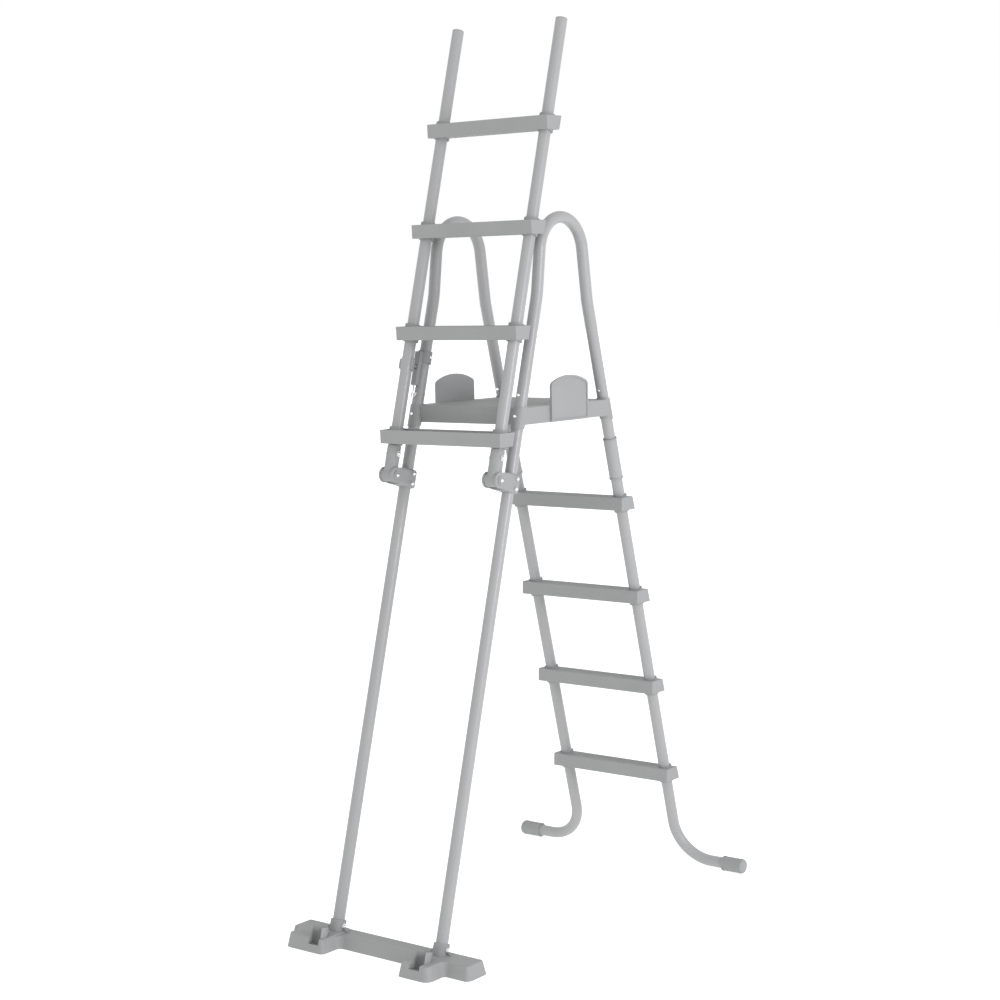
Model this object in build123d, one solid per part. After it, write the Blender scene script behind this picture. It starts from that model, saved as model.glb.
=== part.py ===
from build123d import *
from math import atan, cos, degrees, radians, sin, tan
import os

# Above-ground pool ladder: an A-frame with a platform and two arched handrails, a fixed
# ladder on the pool side, and an outer ladder that folds up on two hinge brackets.
# Millimetres. X runs across the ladder, Y from the outside towards the pool, Z up.
# The origin is the bottom centre of the whole ladder's box.

os.makedirs("parts", exist_ok=True)

# ---- Driving dimensions: the frame
platform_top = 1400.0        # standing surface above the ground
base_spread = 1137.0         # outer to inner leg axis, measured along the ground
outer_lean = 15.8            # degrees of the outer legs from the vertical
inner_lean = 14.4            # degrees of the pool-side legs from the vertical
rail_spacing = 352.0         # left to right tube axis
tube_od = 32.0
tube_wall = 1.2
loop_top = 1898.0            # handrail axis at the crown
loop_radius = 98.0
loop_lean = 7.5              # degrees of the rail below the crown
loop_bend = 170.0            # radius where leg and rail meet

# ---- Driving dimensions: the ladders
pivot_reach = 1248.0         # hinge axis from the ground, along the outer leg
flip_gap = 68.0              # outer leg axis to folding ladder axis
flip_reach = 1250.0          # hinge axis to the folding tubes' free ends
flip_first_tread = 106.6     # hinge axis to the nearest tread
flip_pitch = 284.7
inner_first_tread = 1138.5   # highest pool-side tread from the ground, along its leg
inner_pitch = 281.4
treads = 4
tread_length = 408.0
tread_height = 37.0
tread_heel = 33.0            # tube axis to the wall-side face
tread_toe_top = 21.0         # tube axis to the climber's edge, top
tread_toe_bottom = 32.0
tread_wall = 3.0
tread_rib = 2.5
collar_od = 42.0
collar_proud = 4.0
groove_width = 3.0
groove_depth = 1.2
groove_count = 4

# ---- Driving dimensions: platform
deck_thick = 45.5
deck_side = 18.0             # tube axis to the deck's side face
deck_end = 4.0               # tube axis to the deck's front and rear faces
deck_wall = 3.5
deck_boss_od = 37.0
deck_boss_drop = 10.5        # how far the leg bosses hang below the deck
deck_boss_rise = 3.0
guard_width = 168.0
guard_height = 122.0
guard_arch = 20.0            # rise of the curved top edge
guard_thick = 6.5
guard_rim = 2.0
guard_screw_depth = 3.5      # how far each guard screw goes into its plate
deck_seat = 17.8             # leg axis to each deck screw's seat
spot_r = 5.2                 # flat seat cut for each deck screw's head

# ---- Driving dimensions: base
bar_top = 32.0
bar_front, bar_back = -22.5, 50.0
bar_corner = 14.0            # inside corners where the bar meets the pads
pad_top = 36.0
pad_arm = 304.0              # half of the base's whole length
pad_front, pad_back = -38.0, 44.0
pad_draft = 9.0              # how far the sides lean in over the pad's height
pad_edge = 3.0
socket_od = 42.0
socket_top = 64.0            # leg socket's rim from the ground, along the leg
socket_floor = 13.0          # leg tube's end from the ground, along the leg
cradle_wall = 5.0
cradle_gap = 1.0             # folding tube to the cradle's inside
cradle_top = 44.0            # from the ground, along the leg
cradle_floor = -3.5          # the cradle's floor, square to the leg
# each foot pad's forward toe: reach inward, reach outward and reach forward of the leg
toe = {-1: (36.0, 100.0, 89.0), 1: (53.0, 50.0, 102.0)}

# ---- Driving dimensions: hinge
hinge_socket_od = 37.0
hinge_socket_reach = 80.0    # hinge axis to the socket's rim
hinge_tube_start = 24.0      # hinge axis to the folding tube's lower end
knuckle_width = 35.0
cheek = 4.5
cheek_gap = 0.4              # socket to each cheek of the bracket
stop_gap = 0.3               # socket to the stop wall
bracket_low, bracket_high = -22.0, 29.0
bracket_nose = 21.0
bracket_wall = 4.0
bolt_od = 6.0
pivot_od = 8.0
running = 0.05               # radial clearance of a turning or sliding fit
dome_r = 6.2

# ---- Driving dimensions: pool-side couplers and feet
joint_reach = 1245.0         # upper and lower tube meet, along the inner leg
neck_length = 64.0           # reduced tube end that fits inside its neighbour
coupler_od = 37.0
coupler_low, coupler_high = 1211.0, 1333.0
coupler_taper = 6.0
button_reach = 1268.0
button_od = 7.0
button_proud = 3.5
button_travel = 3.5
cap_r = 20.5
lip_r = 21.5
lip_width = 5.0
foot_reach = 400.0           # end of each foot cap from the middle
cap_length = 68.0
cap_end = 5.0
foot_bend = 112.0

# ---- Driving dimensions: latch on the left rail
latch_reach = 1588.0         # middle of the rail clamp, along the outer leg
clamp_height = 34.0
clamp_wall = 4.0
latch_width = 18.0
latch_depth = 15.0
latch_offset = 24.5          # outer leg axis to latch bolt axis
latch_drop = 83.0            # body length below the clamp's middle
latch_bolt_od = 7.0
latch_travel = 14.0
keeper_thick = 5.0
keeper_gap = 2.3
ring_r = 7.0
ring_wire = 1.8

# ---- Worked-out sizes
w = rail_spacing / 2
tube_r = tube_od / 2
bore_r = tube_r - tube_wall
front_reach = max(t[2] for t in toe.values())
foot_z = lip_r
so, co = sin(radians(outer_lean)), cos(radians(outer_lean))
si, ci = sin(radians(inner_lean)), cos(radians(inner_lean))
foot_y_rel = base_spread - tan(radians(inner_lean)) * foot_z
y0 = -(foot_y_rel + lip_r - front_reach) / 2      # outer leg axis at the ground
LEG = Plane(origin=(0, y0, 0), x_dir=(1, 0, 0), z_dir=(0, so, co))
INNER = Plane(origin=(0, y0 + base_spread, 0), x_dir=(1, 0, 0), z_dir=(0, -si, ci))
SIDES = {"left": -1, "right": 1}


def outer_y(z):
    """Y of the outer leg axis at height z."""
    return y0 + tan(radians(outer_lean)) * z


def inner_y(z):
    """Y of the pool-side leg axis at height z."""
    return y0 + base_spread - tan(radians(inner_lean)) * z


def rod(r, a, b):
    """A round bar of radius r from point a to point b."""
    a, b = Vector(*a), Vector(*b)
    return extrude(Plane(origin=a, z_dir=(b - a)) * Circle(r), (b - a).length)


def block(x0, x1, y0_, y1, z0, z1):
    """A box given by its limits on each axis."""
    size = (x1 - x0, y1 - y0_, z1 - z0)
    return Pos((x0 + x1) / 2, (y0_ + y1) / 2, (z0 + z1) / 2) * Box(*size)


def pipe(path, r_out, r_in):
    """A tube of the given radii along a wire."""
    start = Plane(origin=path @ 0, z_dir=path % 0)
    return sweep(start * Circle(r_out), path=path) - sweep(start * Circle(r_in), path=path)


def bolt_across(x, y, z, reach, r, head=True):
    """A bolt along X through x, y, z: a round head on -X and a domed nut on +X."""
    shank = rod(r, (x - reach, y, z), (x + reach, y, z))
    nut = extrude(Plane(origin=(x + reach, y, z), z_dir=(1, 0, 0)) * RegularPolygon(dome_r, 6), 3)
    dome = Pos(x + reach + 3, y, z) * Sphere(dome_r * 0.82)
    dome = dome & block(x + reach + 3, x + reach + 20, y - 20, y + 20, z - 20, z + 20)
    cap = rod(dome_r, (x - reach - 3, y, z), (x - reach, y, z))
    cap = fillet(cap.edges().sort_by(Axis.X)[0], 1.6)
    return shank + nut + dome + cap if head else shank + nut + dome


def save(solid, name):
    """Write one sub-part."""
    export_step(solid, f"parts/{name}.step")


# ---- Base: one moulding, two foot pads joined by a lower bar
def outline(points, radii):
    """A closed outline through the points, each corner rounded by its own radius."""
    face = make_face(Polyline(*points, close=True))
    for point, radius in zip(points, radii):
        near = min(face.vertices(), key=lambda v: (v.X - point[0]) ** 2 + (v.Y - point[1]) ** 2)
        face = fillet(near, radius)
    return face


def pad_points(side):
    """Corners of one foot pad and their radii, anticlockwise seen from above."""
    inward, outward, forward = toe[side]
    back, front = y0 + pad_back, y0 + pad_front
    toe_in, toe_out = w - inward, w + outward
    corners = [(toe_in, back), (pad_arm, back), (pad_arm, front), (toe_out, front)]
    corners += [(toe_out, y0 - forward), (toe_in, y0 - forward)]
    radii = [14, 15, 15, 10, 22, 14]
    return [(side * x, y) for x, y in corners[::-side]], radii[::-side]


def moulded(points, radii, height):
    """A low solid with drafted sides and rounded top edges."""
    solid = extrude(outline(points, radii), height, taper=degrees(atan(pad_draft / pad_top)))
    return fillet(solid.faces().sort_by(Axis.Z)[-1].edges(), pad_edge)


base = None
for side in (-1, 1):
    pad = moulded(*pad_points(side), pad_top)
    base = pad if base is None else base + pad
ends = [w - toe[side][0] for side in (-1, 1)]
bar_points = [
    (-ends[0] - 30, y0 + bar_back), (-ends[0] - 30, y0 - 62), (-ends[0], y0 - 62), (-ends[0], y0 + bar_front),
    (ends[1], y0 + bar_front), (ends[1], y0 - 62), (ends[1] + 30, y0 - 62), (ends[1] + 30, y0 + bar_back),
]
base += moulded(bar_points, [12, 12, 12, bar_corner, bar_corner, 12, 12, 12], bar_top)

bolt_reach = 48.0             # bolt across each leg socket, along the leg
above = block(-500, 500, y0 - 400, y0 + 400, 3, 400)
for side in (-1, 1):
    centre = side * w
    tower = Pos(centre, 0, socket_top / 2) * Cylinder(socket_od / 2, socket_top)
    tower = fillet(tower.edges().filter_by(GeomType.CIRCLE).sort_by(Axis.Z)[-1], 2)
    cradle_r = tube_r + cradle_gap + cradle_wall
    horn = Pos(centre, -flip_gap, cradle_top / 2) * Cylinder(cradle_r, cradle_top)
    horn = fillet(horn.edges().filter_by(GeomType.CIRCLE).sort_by(Axis.Z)[-1], 2)
    web = block(centre - 7, centre + 7, -flip_gap, 0, 0, cradle_top - 14)
    base += (LEG * (tower + horn + web)) & above
    gap_r = tube_r + cradle_gap
    mouth = Pos(centre, -flip_gap, cradle_floor + 200) * Cylinder(gap_r, 400)
    mouth += block(centre - gap_r, centre + gap_r, -flip_gap - 80, -flip_gap, cradle_floor, 400)
    base -= LEG * mouth
    base -= LEG * Pos(centre, 0, socket_floor + 100) * Cylinder(tube_r, 200)
    base -= LEG * rod(bolt_od / 2, (centre - 60, 0, bolt_reach), (centre + 60, 0, bolt_reach))
hollow = block(-ends[0] + 20, ends[1] - 20, y0 + bar_front + 12, y0 + bar_back - 12, -1, bar_top - 6)
base -= hollow
for rib_x in (-80, -27, 27, 80):
    base += block(rib_x - 1.5, rib_x + 1.5, y0 + bar_front + 10, y0 + bar_back - 10, 6, bar_top - 5)
save(base, "base")
save(
    Compound([LEG * bolt_across(side * w, 0, bolt_reach, socket_od / 2, bolt_od / 2) for side in (-1, 1)]),
    "base_bolts",
)


# ---- Outer legs: lower tubes from the base to the hinge brackets
clamp_mid = pivot_reach + (bracket_low + bracket_high) / 2
clamp_step = 13.5            # each clamp bolt from the tubes' joint
for name, side in SIDES.items():
    x = side * w
    leg = Pos(x, 0, (socket_floor + clamp_mid) / 2) * Cylinder(tube_r, clamp_mid - socket_floor)
    leg += Pos(x, 0, clamp_mid + neck_length / 2) * Cylinder(bore_r, neck_length)
    leg -= Pos(x, 0, clamp_mid / 2) * Cylinder(bore_r - tube_wall, 2 * clamp_mid)
    for z in (bolt_reach, clamp_mid - clamp_step, clamp_mid + clamp_step):
        leg -= rod(bolt_od / 2, (x - 40, 0, z), (x + 40, 0, z))
    save(LEG * leg, f"outer_leg_{name}")


# ---- Handrails: one bent tube a side, from hinge bracket over the crown to the coupler
zc = loop_top - loop_radius
y_mid = (outer_y(zc) + inner_y(zc)) / 2
sl, cl, tl = sin(radians(loop_lean)), cos(radians(loop_lean)), tan(radians(loop_lean))


def rail_path(x):
    """The handrail's axis at X = x."""
    z_tan = zc + loop_radius * sl
    front_tan = (x, y_mid - loop_radius * cl, z_tan)
    rear_tan = (x, y_mid + loop_radius * cl, z_tan)
    z_front = (front_tan[1] - tl * z_tan - y0) / (tan(radians(outer_lean)) - tl)
    z_rear = (y0 + base_spread - rear_tan[1] - tl * z_tan) / (tan(radians(inner_lean)) - tl)
    start = LEG.from_local_coords((x, 0, clamp_mid))
    end = INNER.from_local_coords((x, 0, joint_reach))
    up = FilletPolyline(start, (x, outer_y(z_front), z_front), front_tan, radius=loop_bend)
    crown = ThreePointArc(front_tan, (x, y_mid, loop_top), rear_tan)
    down = FilletPolyline(rear_tan, (x, inner_y(z_rear), z_rear), end, radius=loop_bend)
    return Wire(up.edges() + crown.edges() + down.edges())


stop_screw_z = platform_top + 28.0
deck_screw_z = platform_top - 22.0
for name, side in SIDES.items():
    x = side * w
    rail = pipe(rail_path(x), tube_r, bore_r)
    rail -= LEG * rod(bolt_od / 2, (x - 40, 0, clamp_mid + clamp_step), (x + 40, 0, clamp_mid + clamp_step))
    inward = -side
    rail -= INNER * rod(button_od / 2 + running, (x, 0, button_reach), (x + inward * 40, 0, button_reach))
    for leg, reach in ((LEG, stop_screw_z / co), (INNER, stop_screw_z / ci)):
        rail -= leg * rod(2.5, (x, -40, reach), (x, 0, reach))
    rail -= rod(2.5, (x, outer_y(deck_screw_z) - 40, deck_screw_z), (x, outer_y(deck_screw_z), deck_screw_z))
    if side < 0:
        rail -= LEG * rod(2.0, (x, 0, latch_reach), (x + 40, 0, latch_reach))
    save(rail, f"handrail_{name}")


# ---- Pool-side legs: straight tubes that turn outwards into the feet
for name, side in SIDES.items():
    x = side * w
    top = INNER.from_local_coords((x, 0, joint_reach))
    path = FilletPolyline(
        top, (x, y0 + foot_y_rel, foot_z), (side * (foot_reach - cap_end), y0 + foot_y_rel, foot_z), radius=foot_bend
    )
    leg = pipe(path, tube_r, bore_r)
    neck = Pos(x, 0, joint_reach + neck_length / 2) * Cylinder(bore_r, neck_length)
    neck += Pos(x, 0, joint_reach - 5) * Cylinder(bore_r, 10)
    neck -= Pos(x, 0, joint_reach) * Cylinder(bore_r - tube_wall, 3 * neck_length)
    neck -= rod(button_od / 2 + running, (x, 0, button_reach), (x - side * 40, 0, button_reach))
    save(leg + INNER * neck, f"inner_leg_{name}")

    sleeve_mid = (coupler_low + coupler_high) / 2
    sleeve = Pos(x, 0, sleeve_mid) * Cylinder(coupler_od / 2, coupler_high - coupler_low)
    rims = sleeve.edges().filter_by(GeomType.CIRCLE)
    sleeve = chamfer(rims, coupler_taper, (coupler_od - tube_od) / 2 - 0.8)
    sleeve -= Pos(x, 0, sleeve_mid) * Cylinder(tube_r, 200)
    sleeve -= rod(button_od / 2 + running, (x, 0, button_reach), (x - side * 40, 0, button_reach))
    save(INNER * sleeve, f"coupler_{name}")

    # sprung button: a domed pin with a flange inside the tube, pushed out by a leaf spring
    tip = coupler_od / 2 + button_proud
    inside = bore_r - tube_wall
    pin = rod(button_od / 2, (x - side * (inside - 2.7), 0, button_reach), (x - side * tip, 0, button_reach))
    outer_rim = pin.edges().filter_by(GeomType.CIRCLE).sort_by(Axis.X)[0 if side > 0 else -1]
    pin = fillet(outer_rim, 2.2)
    flange = block(-0.6, 0.6, -5.5, 5.5, -8, 8)
    flange_x = x - side * (inside - 2.1)
    save(INNER * (pin + Pos(flange_x, 0, button_reach) * flange), f"snap_button_{name}")
    # the spring's back leaf rests on the far wall, its front leaf waits behind the button
    wall_x = (inside**2 - 3.5**2) ** 0.5
    far, near = sorted((x + side * wall_x, x + side * (wall_x - 1)))
    spring = block(far, near, -3.5, 3.5, button_reach - 30, button_reach + 12)
    far, near = sorted((x + side * wall_x, x - side * 5))
    spring += block(far, near, -3.5, 3.5, button_reach - 30, button_reach - 29)
    far, near = sorted((x - side * 5, x - side * 4))
    spring += block(far, near, -3.5, 3.5, button_reach - 30, button_reach + 8)
    save(INNER * spring, f"snap_spring_{name}")

    cap_x = sorted((side * (foot_reach - cap_length), side * foot_reach))
    y, z = y0 + foot_y_rel, foot_z
    cap = rod(cap_r, (cap_x[0], y, z), (cap_x[1], y, z))
    outer_end = cap.edges().filter_by(GeomType.CIRCLE).sort_by(Axis.X)[-1 if side > 0 else 0]
    cap = fillet(outer_end, 6.0)
    lip_x = side * (foot_reach - cap_length)
    cap += rod(lip_r, (lip_x, y, z), (lip_x + side * lip_width, y, z))
    far_x = side * (foot_reach - cap_end - 4 - lip_width)
    cap += rod(lip_r, (far_x, y, z), (far_x + side * lip_width, y, z))
    cap -= rod(tube_r, (side * 200, y, z), (side * (foot_reach - cap_end), y, z))
    save(cap, f"foot_cap_{name}")


# ---- Treads: drafted channels, open below, with a collar round each tube
def tread(lean):
    """One tread about the point where the tube axes cross its middle; climber on +Y."""
    h, half = tread_height / 2, tread_length / 2
    t = tread_wall
    outline = Polyline(
        (-tread_heel, h), (tread_toe_top, h), (tread_toe_bottom, -h), (-tread_heel - 1.5, -h), close=True
    )
    body = extrude(Plane.YZ * make_face(outline), half, both=True)
    body = fillet(body.edges().filter_by(Axis.X).sort_by(Axis.Z)[-2:], 2.5)
    body = fillet(body.faces().sort_by(Axis.X)[0].edges() + body.faces().sort_by(Axis.X)[-1].edges(), 1.6)
    hollow = Polyline(
        (-tread_heel + t, h - t), (tread_toe_top - t, h - t), (tread_toe_bottom - t, -h - 1),
        (-tread_heel - 1.5 + t, -h - 1), close=True,
    )
    cavity = extrude(Plane.YZ * make_face(hollow), half - t, both=True)
    rib_step = (rail_spacing - collar_od) / 6
    for i in range(-3, 4):
        cavity -= block(i * rib_step - tread_rib / 2, i * rib_step + tread_rib / 2, -60, 60, -h + 6, h)
    for side in (-1, 1):
        cavity -= Pos(side * w, 0, 0) * Rot(X=lean) * Cylinder(collar_od / 2, 3 * tread_height)
    body -= cavity
    span = tread_heel + tread_toe_top
    for i in range(groove_count):
        y = -tread_heel + span * (i + 1) / (groove_count + 1)
        run = w - collar_od / 2 - 8
        body -= block(-run, run, y - groove_width / 2, y + groove_width / 2, h - groove_depth, h + 1)
    for side in (-1, 1):
        reach = (h + collar_proud) / cos(radians(lean))
        body += Pos(side * w, 0, 0) * Rot(X=lean) * Cylinder(collar_od / 2, 2 * reach)
        body -= Pos(side * w, 0, 0) * Rot(X=lean) * Cylinder(tube_r, 6 * tread_height)
    return body


inner_tread = tread(inner_lean)
flip_tread = Rot(Y=180) * tread(outer_lean)
for i in range(treads):
    spot = INNER.from_local_coords((0, 0, inner_first_tread - i * inner_pitch))
    save(Pos(*spot) * inner_tread, f"inner_tread_{i + 1}")
    spot = LEG.from_local_coords((0, -flip_gap, pivot_reach + flip_first_tread + i * flip_pitch))
    save(Pos(*spot) * flip_tread, f"flip_tread_{i + 1}")


# ---- Platform: deck with a boss round each leg, and a guard plate at each side
deck_front = outer_y(platform_top - deck_thick / 2) - deck_end
deck_rear = inner_y(platform_top - deck_thick / 2) + deck_end
deck_mid = (deck_front + deck_rear) / 2
deck_w, deck_d = 2 * (w + deck_side), deck_rear - deck_front
under = platform_top - deck_thick


def leg_bosses(r, z_low, z_high):
    """Leaning round posts on the four leg axes between two heights."""
    posts = None
    for side in (-1, 1):
        for line in (outer_y, inner_y):
            post = rod(r, (side * w, line(z_low), z_low), (side * w, line(z_high), z_high))
            posts = post if posts is None else posts + post
    return posts


deck = extrude(Pos(0, deck_mid, under) * RectangleRounded(deck_w, deck_d, 10), deck_thick)
deck = fillet(deck.faces().sort_by(Axis.Z)[-1].edges(), 2.5)
inner_box = extrude(
    Pos(0, deck_mid, under - 1) * RectangleRounded(deck_w - 2 * deck_wall, deck_d - 2 * deck_wall, 7),
    deck_thick - deck_wall + 1,
)
for i in range(-3, 4):
    inner_box -= block(i * 46 - 1.5, i * 46 + 1.5, deck_mid - 400, deck_mid + 400, under + 12, platform_top)
for i in (-2, -1, 0, 1, 2):
    y = deck_mid + i * deck_d / 6
    inner_box -= block(-400, 400, y - 1.5, y + 1.5, under + 12, platform_top)
inner_box -= leg_bosses(deck_boss_od / 2, under - 60, platform_top + 40)
deck -= inner_box
deck_groove_run = w - deck_boss_od / 2 - 6
groove_rows = 11
for i in range(groove_rows):
    y = deck_front + deck_d * (i + 1) / (groove_rows + 1)
    deck -= block(-deck_groove_run, deck_groove_run, y - 2.5, y + 2.5, platform_top - groove_depth, platform_top + 1)
bosses = leg_bosses(deck_boss_od / 2, under - 60, platform_top + 40)
deck += bosses & block(-400, 400, deck_front - 60, deck_rear + 60, under - deck_boss_drop, platform_top + deck_boss_rise)
deck -= leg_bosses(tube_r, under - 80, platform_top + 60)
for side in (-1, 1):
    y = outer_y(deck_screw_z)
    deck -= rod(2.5, (side * w, y - 40, deck_screw_z), (side * w, y, deck_screw_z))
    deck -= rod(spot_r, (side * w, y - 40, deck_screw_z), (side * w, y - deck_seat, deck_screw_z))

guard_mid_y = (outer_y(platform_top) + inner_y(platform_top)) / 2
guard_screws = [(guard_mid_y + dy, under + 24) for dy in (-55, 55)]


def guard(side):
    """A plate with an arched top and a raised rim, on the deck's side face."""
    half, top = guard_width / 2, under + guard_height

    def rim(inset):
        h, t = half - inset, top - inset
        edge = Polyline((-h, t - guard_arch), (-h, under + inset), (h, under + inset), (h, t - guard_arch))
        arch = ThreePointArc((h, t - guard_arch), (0, t), (-h, t - guard_arch))
        face = make_face(edge.edges() + arch.edges())
        upper = [v for v in face.vertices() if v.Y > under + 60]
        lower = [v for v in face.vertices() if v.Y < under + 60]
        face = fillet(upper, max(14 - inset, 4))
        lower = [v for v in face.vertices() if v.Y < under + inset + 1]
        return fillet(lower, max(5 - inset / 2, 1.5))

    x_face = side * (w + deck_side)
    plane = Plane(origin=(x_face, guard_mid_y, 0), x_dir=(0, 1, 0), z_dir=(1, 0, 0))
    plate = extrude(plane * rim(0), side * guard_thick)
    recess_plane = plane.offset(side * (guard_thick - guard_rim))
    plate -= extrude(recess_plane * rim(5), side * (guard_rim + 1))
    for y, z in guard_screws:
        plate -= rod(2.2, (x_face - side, y, z), (x_face + side * guard_screw_depth, y, z))
    return plate


for name, side in SIDES.items():
    save(guard(side), f"side_guard_{name}")
    for y, z in guard_screws:
        x_face = side * (w + deck_side)
        deck -= rod(2.2, (x_face - side * 40, y, z), (x_face + side, y, z))
save(deck, "platform_deck")


def pan_screw(tip, seat, head_r, shank_r):
    """A screw from its tip to its seat, with a domed head beyond the seat."""
    tip, seat = Vector(*tip), Vector(*seat)
    out = (seat - tip).normalized()
    dome = Plane(origin=seat, z_dir=out) * (Sphere(head_r) & Pos(0, 0, head_r) * Box(40, 40, 2 * head_r))
    dome &= Plane(origin=seat, z_dir=out) * Cylinder(head_r, head_r * 1.2)
    return rod(shank_r, tip, seat) + dome


guard_set, deck_set, stop_set = [], [], []
for side in (-1, 1):
    x_face = side * (w + deck_side)
    for y, z in guard_screws:
        guard_set.append(pan_screw((x_face + side * guard_screw_depth, y, z), (x_face - side * deck_wall, y, z), 4.2, 2.2))
    y = outer_y(deck_screw_z)
    deck_set.append(pan_screw((side * w, y - 10, deck_screw_z), (side * w, y - deck_seat, deck_screw_z), 4.6, 2.5))
    for leg, reach in ((LEG, stop_screw_z / co), (INNER, stop_screw_z / ci)):
        stop_set.append(leg * pan_screw((side * w, -10, reach), (side * w, -tube_r, reach), 4.6, 2.5))
save(Compound(guard_set), "guard_screws")
save(Compound(deck_set), "deck_screws")
save(Compound(stop_set), "rail_stop_screws")


# ---- Hinges: a bracket clamped on each outer leg, and a socket on each folding tube
half_slot = knuckle_width / 2 + cheek_gap
half_bracket = half_slot + cheek
stop_n = hinge_socket_od / 2 + stop_gap      # stop wall from the hinge axis


def bracket(side):
    """Bracket about the hinge axis: n runs towards the leg, s along it."""
    rear = flip_gap + tube_r + bracket_wall
    arm = Polyline(
        (0, -bracket_nose), (flip_gap - tube_r - bracket_wall, bracket_low), (rear, bracket_low),
        (rear, bracket_high), (flip_gap - tube_r - bracket_wall, bracket_high), (0, bracket_nose), close=True,
    )
    slab = extrude(Plane.YZ * make_face(arm), half_bracket, both=True)
    slab = fillet(slab.edges().filter_by(Axis.X).sort_by(Axis.Y)[-2:], 6)
    slab = fillet(slab.edges().filter_by(Axis.Z).sort_by(Axis.Y)[-2:], 9)
    nose = Rot(Y=90) * Cylinder(bracket_nose, 2 * half_bracket)
    body = slab + nose
    body -= block(-half_slot, half_slot, -60, stop_n, -60, 60)
    for sign in (-1, 1):
        pad = Pos(sign * (half_bracket + 1), 0, 0) * Rot(Y=90) * Cylinder(11, 2)
        body += pad
    body -= Pos(0, flip_gap, 0) * Cylinder(tube_r, 200)
    body -= Rot(Y=90) * Cylinder(pivot_od / 2, 100)
    for step in (-clamp_step, clamp_step):
        z = clamp_mid - pivot_reach + step
        body -= rod(bolt_od / 2, (-60, flip_gap, z), (60, flip_gap, z))
    return LEG * Pos(side * w, -flip_gap, pivot_reach) * body


def hinge_socket(side):
    """Socket about the hinge axis, with the folding tube's lower end inside."""
    r = hinge_socket_od / 2
    body = Pos(0, 0, hinge_socket_reach / 2) * Cylinder(r, hinge_socket_reach)
    body = fillet(body.edges().filter_by(GeomType.CIRCLE).sort_by(Axis.Z)[-1], 1.5)
    body += Rot(Y=90) * Cylinder(r, 2 * r)
    body &= Pos(0, 0, 50) * Box(2 * r, 2 * r, 200)
    low = block(-knuckle_width / 2, knuckle_width / 2, -r, r, -r - 1, bracket_high + 3)
    body &= low + block(-50, 50, -50, 50, bracket_high + 3, 200)
    body -= Pos(0, 0, hinge_tube_start + 100) * Cylinder(tube_r, 200)
    body -= Rot(Y=90) * Cylinder(pivot_od / 2 + running, 100)
    body -= rod(bolt_od / 2, (-60, 0, 58), (60, 0, 58))
    return LEG * Pos(side * w, -flip_gap, pivot_reach) * body


pivot_set, clamp_set, socket_set, plug_set = [], [], [], []
for name, side in SIDES.items():
    save(bracket(side), f"hinge_bracket_{name}")
    save(hinge_socket(side), f"hinge_socket_{name}")
    x = side * w
    pivot_set.append(LEG * bolt_across(x, -flip_gap, pivot_reach, half_bracket + 2, pivot_od / 2))
    for step in (-clamp_step, clamp_step):
        clamp_set.append(LEG * bolt_across(x, 0, clamp_mid + step, half_bracket, bolt_od / 2))
    socket_bolt = bolt_across(x, -flip_gap, pivot_reach + 58, hinge_socket_od / 2, bolt_od / 2)
    socket_set.append(LEG * socket_bolt)

    tube_low, tube_high = pivot_reach + hinge_tube_start, pivot_reach + flip_reach
    tube = Pos(x, -flip_gap, (tube_low + tube_high - 3) / 2) * Cylinder(tube_r, tube_high - tube_low - 3)
    tube -= Pos(x, -flip_gap, (tube_low + tube_high) / 2) * Cylinder(bore_r, 2 * flip_reach)
    tube -= rod(bolt_od / 2, (x - 40, -flip_gap, pivot_reach + 58), (x + 40, -flip_gap, pivot_reach + 58))
    save(LEG * tube, f"flip_tube_{name}")
    plug = Pos(x, -flip_gap, tube_high - 1.5) * Cylinder(tube_r, 3)
    plug = fillet(plug.edges().filter_by(GeomType.CIRCLE).sort_by(Axis.Z)[-1], 1.5)
    plug += Pos(x, -flip_gap, tube_high - 13) * Cylinder(bore_r, 20)
    plug_set.append(LEG * plug)
save(Compound(pivot_set), "hinge_pivot_bolts")
save(Compound(clamp_set), "hinge_clamp_bolts")
save(Compound(socket_set), "hinge_socket_bolts")
save(Compound(plug_set), "flip_tube_plugs")


# ---- Latch: a sprung bolt on the left rail that holds a keeper on the folding ladder
lx = -w
bolt_n = -latch_offset
body_low, body_high = latch_reach - latch_drop, latch_reach - 4
keeper_mid = latch_reach - 34.0


def band(n, mid, height):
    """A clamp ring round a tube at offset n."""
    ring = Pos(lx, n, mid) * Cylinder(tube_r + clamp_wall, height)
    ring = fillet(ring.edges().filter_by(GeomType.CIRCLE), 1.0)
    return ring


rail_clamp = band(0, latch_reach, clamp_height)
ear = block(lx - latch_width / 2, lx + latch_width / 2, bolt_n - latch_depth / 2, 0, body_high - 20, latch_reach + 10)
rail_clamp += ear
housing = block(
    lx - latch_width / 2, lx + latch_width / 2, bolt_n - latch_depth / 2, bolt_n + latch_depth / 2, body_low, body_high
)
housing = fillet(housing.edges().filter_by(Axis.Z), 2.0)
rail_clamp += housing
rail_clamp -= Pos(lx, 0, latch_reach) * Cylinder(tube_r, 400)
throat_low = keeper_mid - keeper_thick / 2 - keeper_gap
throat_high = keeper_mid + keeper_thick / 2 + keeper_gap
rail_clamp -= block(lx - 6.5, lx + 6.5, bolt_n - 20, bolt_n + latch_depth / 2 + 1, throat_low, throat_high)
bolt_top = keeper_mid + keeper_thick / 2 + 8
bolt_low = body_low - 22
rail_clamp -= Pos(lx, bolt_n, (bolt_top + 1 + body_low - 50) / 2) * Cylinder(
    latch_bolt_od / 2 + running, bolt_top + 1 - body_low + 50
)
spring_r = 5.4
rail_clamp -= Pos(lx, bolt_n, body_low + 14) * Cylinder(spring_r, 24)
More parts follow.
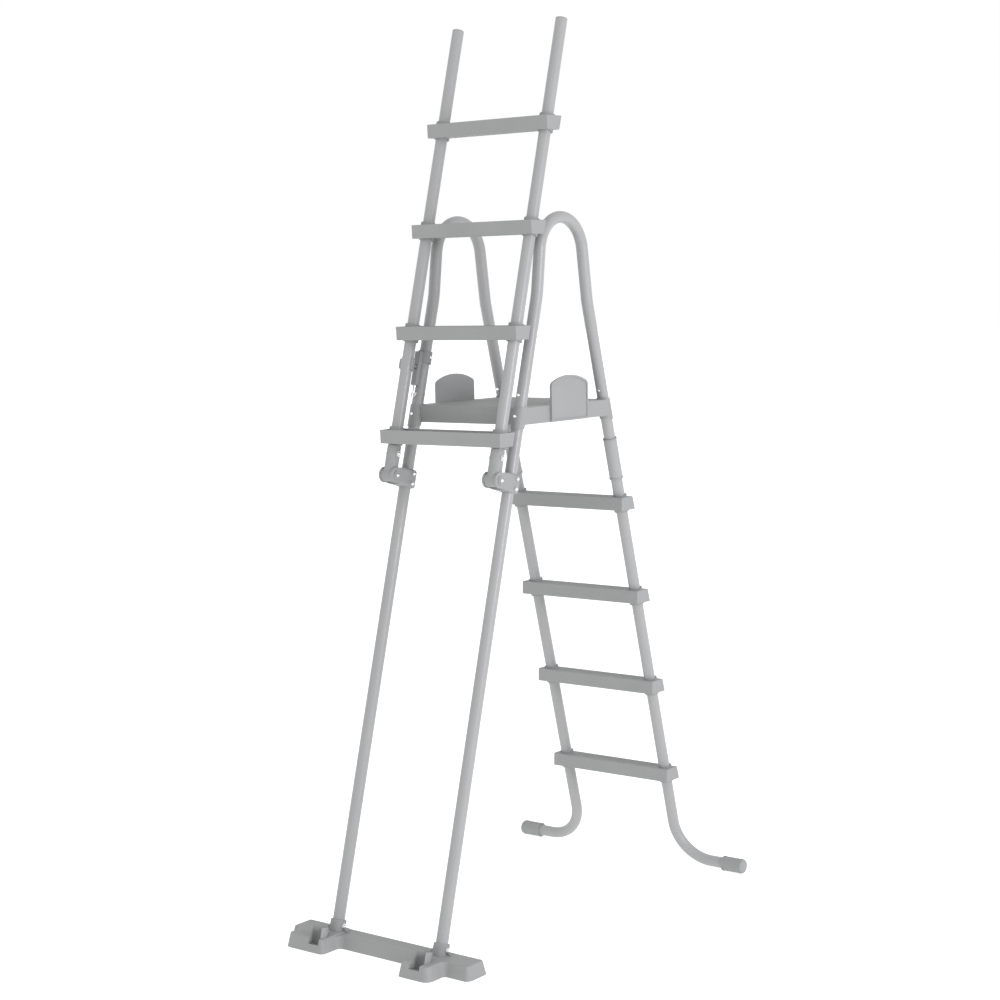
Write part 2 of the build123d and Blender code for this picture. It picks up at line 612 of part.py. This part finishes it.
rail_clamp -= rod(2.0, (lx, 0, latch_reach), (lx + 40, 0, latch_reach))
save(LEG * rail_clamp, "latch_body")
screw = pan_screw((lx + tube_r - 6, 0, latch_reach), (lx + tube_r + clamp_wall, 0, latch_reach), 4.6, 2.0)
save(LEG * screw, "latch_clamp_screw")

keeper = band(-flip_gap, keeper_mid, clamp_height)
tab_n = -tube_r - 2
keeper += block(lx - 5.5, lx + 5.5, -flip_gap, tab_n, keeper_mid - keeper_thick / 2, keeper_mid + keeper_thick / 2)
keeper += block(
    lx - tube_r - 9, lx, -flip_gap - 4, -flip_gap + 4, keeper_mid - clamp_height / 2 + 4, keeper_mid + clamp_height / 2 - 4
)
keeper -= Pos(lx, -flip_gap, keeper_mid) * Cylinder(tube_r, 200)
keeper &= block(lx - 60, lx + 60, -flip_gap - 5, 0, body_low, latch_reach)
keeper -= Pos(lx, bolt_n, keeper_mid) * Cylinder(latch_bolt_od / 2 + 0.6, 20)
save(LEG * keeper, "latch_keeper")

plunger = Pos(lx, bolt_n, (bolt_top + bolt_low) / 2) * Cylinder(latch_bolt_od / 2, bolt_top - bolt_low)
plunger = fillet(plunger.edges().filter_by(GeomType.CIRCLE).sort_by(Axis.Z)[-1], 1.5)
plunger += Pos(lx, bolt_n, body_low - 4.0) * Cylinder(latch_bolt_od / 2 + 1.5, 4)
ring = Pos(lx, bolt_n, bolt_low - ring_r + 2) * Rot(X=90) * Torus(ring_r, ring_wire)
save(LEG * (plunger + ring), "latch_bolt")
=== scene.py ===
"""Above-ground pool ladder with a fold-up outer ladder: finishes, small moulded details and the studio.

Metres. X runs across the ladder, Y from the outside towards the pool, Z up.
"""

import math

import bpy
from mathutils import Matrix, Vector


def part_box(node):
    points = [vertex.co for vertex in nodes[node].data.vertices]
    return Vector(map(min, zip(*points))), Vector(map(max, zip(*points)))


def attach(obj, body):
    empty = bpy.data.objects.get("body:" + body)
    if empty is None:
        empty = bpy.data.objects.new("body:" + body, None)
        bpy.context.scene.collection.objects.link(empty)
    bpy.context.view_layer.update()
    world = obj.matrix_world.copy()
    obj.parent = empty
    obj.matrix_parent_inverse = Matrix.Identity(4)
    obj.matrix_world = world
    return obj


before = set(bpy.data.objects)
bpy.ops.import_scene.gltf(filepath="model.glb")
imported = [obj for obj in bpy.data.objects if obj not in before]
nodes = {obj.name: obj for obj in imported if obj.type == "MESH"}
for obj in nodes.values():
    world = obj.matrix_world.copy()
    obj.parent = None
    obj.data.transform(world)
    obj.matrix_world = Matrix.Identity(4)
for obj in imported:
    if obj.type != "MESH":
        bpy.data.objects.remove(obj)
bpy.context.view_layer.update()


# ---- Tubes: legs, handrails and folding rails
# Thin-walled steel tube, bent cold and powder-coated light grey. The coat has a fine orange peel, small
# differences of tone along each tube, and light rub marks.
class Wire:
    """One output socket, or a plain number, in a material's tree."""

    def __init__(self, finish, socket):
        self.finish = finish
        self.socket = socket

    def math(self, operation, *others):
        inputs = dict(enumerate((self,) + others))
        return self.finish.node("ShaderNodeMath", {"operation": operation}, inputs)

    def __add__(self, other):
        return self.math("ADD", other)

    def __radd__(self, other):
        return self.math("ADD", other)

    def __sub__(self, other):
        return self.math("SUBTRACT", other)

    def __rsub__(self, other):
        return self.math("MULTIPLY", -1.0) + other

    def __mul__(self, other):
        return self.math("MULTIPLY", other)

    def __rmul__(self, other):
        return self.math("MULTIPLY", other)

    def clamp(self):
        return self.math("MAXIMUM", 0.0).math("MINIMUM", 1.0)


class Finish:
    """A node material: node() adds any node with its settings first, then its inputs."""

    def __init__(self, name):
        self.material = bpy.data.materials.new(name)
        self.material.use_nodes = True
        self.tree = self.material.node_tree
        self.tree.nodes.clear()
        self.output = self.tree.nodes.new("ShaderNodeOutputMaterial")

    def node(self, kind, settings=None, inputs=None, out=0):
        made = self.tree.nodes.new(kind)
        for key, value in (settings or {}).items():
            setattr(made, key, value)
        for key, value in (inputs or {}).items():
            socket = made.inputs[key]
            if isinstance(value, Wire):
                self.tree.links.new(value.socket, socket)
            else:
                socket.default_value = value
        return Wire(self, made.outputs[out])

    def place(self):
        """Where the surface is, in the ladder's own metres."""
        return self.node("ShaderNodeTexCoord", out="Object")

    def stretched(self, scale, turn=(0.0, 0.0, 0.0)):
        """The place, turned and then stretched, for grain that runs one way."""
        return self.node("ShaderNodeMapping", {}, {"Vector": self.place(), "Rotation": turn, "Scale": scale})

    def noise(self, where, scale, detail=3.0, roughness=0.5):
        inputs = {"Vector": where, "Scale": scale, "Detail": detail, "Roughness": roughness}
        return self.node("ShaderNodeTexNoise", {"noise_dimensions": "3D"}, inputs, out="Fac")

    def mix(self, factor, first, second):
        """Two colours mixed: a colour Mix node keeps its factor on input 0 and its colours on 6 and 7."""
        return self.node("ShaderNodeMix", {"data_type": "RGBA"}, {0: factor, 6: first, 7: second}, out=2)

    def bump(self, height, strength, distance):
        return self.node(
            "ShaderNodeBump", {}, {"Height": height, "Strength": strength, "Distance": distance}, out="Normal"
        )

    def surface(self, **inputs):
        """The finished surface: underscores in the names stand for spaces."""
        named = {key.replace("_", " "): value for key, value in inputs.items()}
        shader = self.node("ShaderNodeBsdfPrincipled", {}, named)
        self.tree.links.new(shader.socket, self.output.inputs["Surface"])
        return self.material


def dress(finish, *names):
    """Put one finish on a set of CAD nodes."""
    for name in names:
        materials = nodes[name].data.materials
        materials.clear()
        materials.append(finish)


def shade(value, tint=(0.0, 0.0, 0.0)):
    """A grey with a slight tint."""
    return (value + tint[0], value + tint[1], value + tint[2], 1.0)


COOL = (-0.004, 0.002, 0.003)


def powder_coat(name, tone):
    finish = Finish(name)
    where = finish.place()
    cloud = finish.noise(where, 5.0, 2.0)
    speckle = finish.noise(where, 900.0, 1.0)
    rub = finish.noise(finish.stretched((60.0, 60.0, 6.0)), 1.0, 4.0, 0.65)
    rubbed = ((rub - 0.62) * 6.0).clamp()
    base = finish.mix(cloud, shade(tone * 0.93, COOL), shade(tone * 1.06, COOL))
    base = finish.mix(speckle * 0.14, base, shade(tone * 1.3, COOL))
    base = finish.mix(rubbed * 0.22, base, shade(tone * 1.18))
    peel = finish.noise(where, 420.0, 2.0)
    grain = finish.bump(peel, 0.16, 0.0006)
    rough = 0.36 + cloud * 0.08 - rubbed * 0.06
    return finish.surface(Base_Color=base, Roughness=rough, Normal=grain, Metallic=0.0, Coat_Weight=0.12)


tube_coat = powder_coat("light_grey_powder_coat", 0.305)
dress(
    tube_coat,
    "outer_leg_left", "outer_leg_right", "handrail_left", "handrail_right",
    "inner_leg_left", "inner_leg_right", "flip_tube_left", "flip_tube_right",
)


# ---- Mouldings: base, deck, guards, treads, brackets, sockets, couplers, caps and latch
# Grey filled plastic with a fine spark-eroded grain.
PLASTIC_TINT = (-0.006, 0.003, 0.002)


GRAIN_SIZE = 650.0


def moulded_plastic(name, tone):
    finish = Finish(name)
    where = finish.place()
    cloud = finish.noise(where, 9.0, 3.0, 0.55)
    flow = finish.noise(finish.stretched((4.0, 22.0, 22.0)), 1.0, 3.0)
    grain = finish.noise(where, GRAIN_SIZE, 2.0, 0.6)
    fleck = ((finish.noise(where, GRAIN_SIZE * 0.5, 1.0) - 0.60) * 8.0).clamp()
    base = finish.mix(cloud, shade(tone * 0.92, PLASTIC_TINT), shade(tone * 1.07, PLASTIC_TINT))
    base = finish.mix(((flow - 0.5) * 2.0).clamp() * 0.35, base, shade(tone * 1.10, PLASTIC_TINT))
    base = finish.mix(fleck * 0.10, base, shade(tone * 0.7, PLASTIC_TINT))
    rough = 0.50 + grain * 0.12 + cloud * 0.06
    normal = finish.bump(grain, 0.30, 0.0004)
    return finish.surface(Base_Color=base, Roughness=rough, Normal=normal, Metallic=0.0)


plastic = moulded_plastic("grey_moulded_plastic", 0.275)
dress(
    plastic,
    "base", "platform_deck", "side_guard_left", "side_guard_right", "foot_cap_left", "foot_cap_right",
    "hinge_bracket_left", "hinge_bracket_right", "hinge_socket_left", "hinge_socket_right",
    "latch_body", "latch_keeper", "flip_tube_plugs",
    *(f"{kind}_tread_{i}" for kind in ("flip", "inner") for i in range(1, 5)),
)
dress(moulded_plastic("coupler_plastic", 0.31), "coupler_left", "coupler_right")


# ---- Fixings: bolts, domed nuts, screws, snap buttons and the latch bolt
# Zinc-plated steel, bright, with fine turning marks.
def plated_steel(name, tone, rough):
    finish = Finish(name)
    where = finish.place()
    turned = finish.noise(finish.stretched((2500.0, 300.0, 300.0)), 1.0, 2.0)
    cloud = finish.noise(where, 160.0, 2.0)
    base = finish.mix(cloud, shade(tone * 0.9), shade(tone * 1.05))
    normal = finish.bump(turned, 0.12, 0.0002)
    return finish.surface(
        Base_Color=base, Roughness=rough + cloud * 0.08 + turned * 0.05, Metallic=1.0, Normal=normal
    )


bright = plated_steel("bright_zinc_plate", 0.80, 0.16)
dress(
    bright,
    "base_bolts", "deck_screws", "guard_screws", "hinge_clamp_bolts", "hinge_pivot_bolts", "hinge_socket_bolts",
    "rail_stop_screws", "latch_clamp_screw", "snap_button_left", "snap_button_right", "latch_bolt",
)
dress(plated_steel("spring_steel", 0.55, 0.3), "snap_spring_left", "snap_spring_right")


# ---- Grip rings on the foot caps
# Five low rings moulded round each push-on plastic foot cap, so that it holds on the pool floor.
def band(name, centre, turn, radius, depth, wall, rounding):
    """A closed ring: an open tube given a wall inwards, with its edges rounded."""
    bpy.ops.object.select_all(action="DESELECT")
    bpy.ops.mesh.primitive_cylinder_add(
        vertices=48, radius=radius, depth=depth, end_fill_type="NOTHING", location=centre, rotation=turn
    )
    ring = bpy.context.object
    ring.name = name
    wall_modifier = ring.modifiers.new("wall", "SOLIDIFY")
    wall_modifier.thickness = wall
    wall_modifier.offset = -1.0
    bpy.ops.object.modifier_apply(modifier="wall")
    edge = ring.modifiers.new("edge", "BEVEL")
    edge.width = rounding
    edge.segments = 2
    edge.limit_method = "ANGLE"
    bpy.ops.object.modifier_apply(modifier="edge")
    bpy.ops.object.transform_apply(location=True, rotation=True, scale=True)
    bpy.ops.object.shade_smooth_by_angle(angle=math.radians(35.0))
    return ring


def gather(name, pieces, body, finish):
    """Join like pieces into one mesh that moves with a body."""
    bpy.ops.object.select_all(action="DESELECT")
    for piece in pieces:
        piece.select_set(True)
    bpy.context.view_layer.objects.active = pieces[0]
    if len(pieces) > 1:
        bpy.ops.object.join()
    joined = bpy.context.object
    joined.name = name
    joined.data.materials.clear()
    joined.data.materials.append(finish)
    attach(joined, body)
    return joined


ACROSS = (0.0, math.pi / 2, 0.0)
CAP_RINGS = 5
CAP_RING_RADIUS = 0.0211
FIRST_RING, RING_STEP = 0.22, 0.14  # shares of the cap's length
for side in ("left", "right"):
    low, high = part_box(f"foot_cap_{side}")
    middle_y, middle_z = (low[1] + high[1]) / 2, (low[2] + high[2]) / 2
    length = high[0] - low[0]
    rings = []
    for i in range(CAP_RINGS):
        x = low[0] + length * (FIRST_RING + RING_STEP * i)
        rings.append(band("cap_ring", (x, middle_y, middle_z), ACROSS, CAP_RING_RADIUS, 0.003, 0.0012, 0.0004))
    gather(f"foot_cap_rings_{side}", rings, "stand", plastic)


# ---- Beads on the couplers
# A rounded bead moulded at each end of a coupler sleeve, which stiffens the mouth that the tube is pushed into.
INNER_LEAN = math.radians(14.4)
COUPLER_RADIUS = 0.0185
BEAD_PROUD = 0.0009
BEAD_SHIFT = 0.0570
for side in ("left", "right"):
    low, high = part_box(f"coupler_{side}")
    centre = Vector([(low[i] + high[i]) / 2 for i in range(3)])
    along = Vector((0.0, -math.sin(INNER_LEAN), math.cos(INNER_LEAN)))
    tilt = (INNER_LEAN, 0.0, 0.0)
    beads = []
    for shift in (-BEAD_SHIFT, BEAD_SHIFT):
        beads.append(band("bead", centre + along * shift, tilt, COUPLER_RADIUS + BEAD_PROUD, 0.006, 0.0015, 0.0005))
    gather(f"coupler_beads_{side}", beads, "stand", plastic)


# ---- Gussets on the base's leg sockets
# Three triangular webs stand between each leg socket and its foot pad, moulded with the base.
PAD_TOP = 0.036
SOCKET_RADIUS = 0.021
GUSSET_HEIGHT = 0.019
GUSSET_REACH = 0.014
GUSSET_THICK = 0.0034
GUSSET_INSET = 0.003  # how far a web starts inside the socket's wall
RAIL_X = 0.176  # the ladder's middle to a tube's axis


def gusset(centre, outward):
    """A web against the socket: a block whose top outer edge is drawn down to the pad."""
    bpy.ops.object.select_all(action="DESELECT")
    bpy.ops.mesh.primitive_cube_add(size=1.0, location=(0.0, 0.0, 0.0))
    web = bpy.context.object
    web.name = "gusset"
    reach = GUSSET_REACH + GUSSET_INSET
    bpy.ops.object.mode_set(mode="EDIT")
    bpy.ops.mesh.select_all(action="SELECT")
    bpy.ops.transform.translate(value=(0.5, 0.0, 0.5))
    bpy.ops.transform.resize(value=(reach, GUSSET_THICK, GUSSET_HEIGHT), center_override=(0.0, 0.0, 0.0))
    bpy.ops.mesh.select_all(action="DESELECT")
    bpy.ops.object.mode_set(mode="OBJECT")
    for vertex in web.data.vertices:
        vertex.select = vertex.co.x > reach * 0.5 and vertex.co.z > GUSSET_HEIGHT * 0.5
    bpy.ops.object.mode_set(mode="EDIT")
    bpy.ops.transform.translate(value=(0.0, 0.0, -GUSSET_HEIGHT * 0.86))
    bpy.ops.object.mode_set(mode="OBJECT")
    edge = web.modifiers.new("edge", "BEVEL")
    edge.width = 0.0006
    edge.segments = 2
    bpy.ops.object.modifier_apply(modifier="edge")
    start = Vector(centre) + Vector((math.cos(outward), math.sin(outward), 0.0)) * (SOCKET_RADIUS - GUSSET_INSET)
    web.location = start
    web.rotation_euler = (0.0, 0.0, outward)
    bpy.ops.object.transform_apply(location=True, rotation=True, scale=True)
    bpy.ops.object.shade_smooth_by_angle(angle=math.radians(35.0))
    return web


bolt_low, bolt_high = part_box("base_bolts")
socket_y = (bolt_low[1] + bolt_high[1]) / 2 - 0.0027
webs = []
for side_x in (-RAIL_X, RAIL_X):
    for outward in (0.0, math.pi, math.pi / 2):
        webs.append(gusset((side_x, socket_y, PAD_TOP - 0.001), outward))
gather("base_gussets", webs, "stand", plastic)


# ---- Washers under the base bolts and the hinge socket bolts
# Plain zinc-plated washers, one under each head and nut of these bolts, pressed from sheet with a slightly rounded
# edge.
WASHER_RADIUS = 0.0078
WASHER_HOLE = 0.0050


def washers(name, body, spots, reach):
    """A pair of washers, left and right of the tube, for each bolt."""
    pairs = []
    for x, y, z in spots:
        for sign in (-1.0, 1.0):
            centre = (x + sign * (reach + 0.0005), y, z)
            pairs.append(band("washer", centre, ACROSS, WASHER_RADIUS, 0.001, WASHER_RADIUS - WASHER_HOLE, 0.0002))
    gather(name, pairs, body, bright)


def middle(low, high):
    return [(low[i] + high[i]) / 2 for i in range(3)]


low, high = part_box("base_bolts")
_, y, z = middle(low, high)
washers("base_washers", "stand", [(-RAIL_X, y, z), (RAIL_X, y, z)], SOCKET_RADIUS)
low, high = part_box("hinge_socket_bolts")
_, y, z = middle(low, high)
washers("hinge_socket_washers", "flip_ladder", [(-RAIL_X, y, z), (RAIL_X, y, z)], 0.0185)


# ---- Studio: a plain white sweep and soft light
# The ladder stands on a white sheet in a bright even tent, with one large soft lamp on its right.
bpy.ops.object.select_all(action="DESELECT")
bpy.ops.mesh.primitive_plane_add(size=120.0, location=(0.0, 0.0, -0.0005))
floor = bpy.context.object
floor.name = "studio_floor"
floor_paint = Finish("studio_white")
floor_paint.surface(
    Base_Color=(0.5, 0.5, 0.5, 1.0), Roughness=1.0, Emission_Color=(1.0, 1.0, 1.0, 1.0), Emission_Strength=0.8
)
floor.data.materials.append(floor_paint.material)

tent = bpy.data.worlds.new("studio_tent")
bpy.context.scene.world = tent
tent.use_nodes = True
sky = tent.node_tree.nodes["Background"]
sky.inputs["Color"].default_value = (1.0, 1.0, 1.0, 1.0)
sky.inputs["Strength"].default_value = 1.0
bpy.context.scene.view_settings.view_transform = "Standard"


def soft_light(name, spot, aim, size, power, colour):
    data = bpy.data.lights.new(name, "AREA")
    data.size = size
    data.energy = power
    data.color = colour
    lamp = bpy.data.objects.new(name, data)
    lamp.location = spot
    lamp.rotation_euler = (Vector(aim) - Vector(spot)).to_track_quat("-Z", "Y").to_euler()
    bpy.context.scene.collection.objects.link(lamp)


soft_light("key", (5.6, -0.6, 2.2), (0.0, 0.0, 1.1), 1.6, 120.0, (1.0, 0.95, 1.04))

# ---- Camera
# A long lens at standing height, turned so that the outer ladder's front and right side show.
CAMERA_SPOT = (3.3405, -4.3192, 1.7147)
CAMERA_YAW, CAMERA_PITCH, CAMERA_ROLL = 0.6592, -0.0971, -0.0228
FOCAL_OVER_FRAME = 2.0049
CENTRE_X, CENTRE_Y = 0.4974, 0.4826
camera_data = bpy.data.cameras.new("camera")
camera_data.sensor_width = 36.0
camera_data.lens = 36.0 * FOCAL_OVER_FRAME
camera_data.shift_x = 0.5 - CENTRE_X
camera_data.shift_y = CENTRE_Y - 0.5
camera = bpy.data.objects.new("camera", camera_data)
bpy.context.scene.collection.objects.link(camera)
bpy.context.scene.camera = camera
ahead = Vector(
    (
        -math.sin(CAMERA_YAW) * math.cos(CAMERA_PITCH),
        math.cos(CAMERA_YAW) * math.cos(CAMERA_PITCH),
        math.sin(CAMERA_PITCH),
    )
)
across = Vector((math.cos(CAMERA_YAW), math.sin(CAMERA_YAW), 0.0))
upward = across.cross(ahead)
right = across * math.cos(CAMERA_ROLL) + upward * math.sin(CAMERA_ROLL)
top = upward * math.cos(CAMERA_ROLL) - across * math.sin(CAMERA_ROLL)
turn = Matrix((right, top, -ahead)).transposed().to_4x4()
camera.matrix_world = Matrix.Translation(CAMERA_SPOT) @ turn
